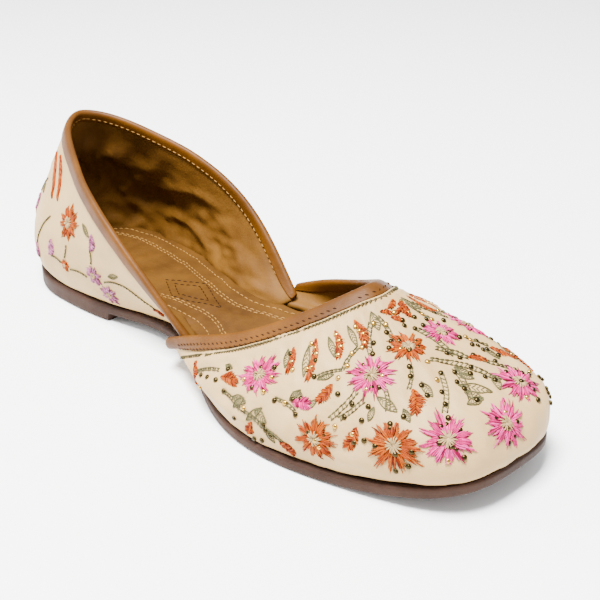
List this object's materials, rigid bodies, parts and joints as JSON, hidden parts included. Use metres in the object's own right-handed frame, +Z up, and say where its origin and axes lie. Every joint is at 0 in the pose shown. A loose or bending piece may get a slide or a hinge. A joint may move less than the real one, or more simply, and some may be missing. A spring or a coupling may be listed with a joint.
{
  "type": "embroidered slip-on flat shoe",
  "caption": "Slip-on leather flat with a bound vamp and separate low quarter, thin moulded sole with a low heel, and floral embroidery with studs on cream leather.",
  "frame": {"origin": "On the floor, under the middle of the shoe's bounding box.", "axes": "+X from heel to toe, +Y to the wearer's left, +Z up. The shoe stands on z = 0 on its heel and its forefoot."},
  "size_m": [0.2511, 0.0912, 0.0705],
  "materials": {
    "outsole": "matte, moulded",
    "insole": "smooth, slightly waxed",
    "cream_leather": "smooth, semi-matte",
    "binding_leather": "smooth, semi-matte"
  },
  "bodies": {
    "root": {"outsole": "outsole", "insole": "insole", "vamp": "cream_leather", "quarter": "cream_leather", "vamp_binding": "binding_leather", "quarter_binding": "binding_leather"}
  },
  "joints": []
}
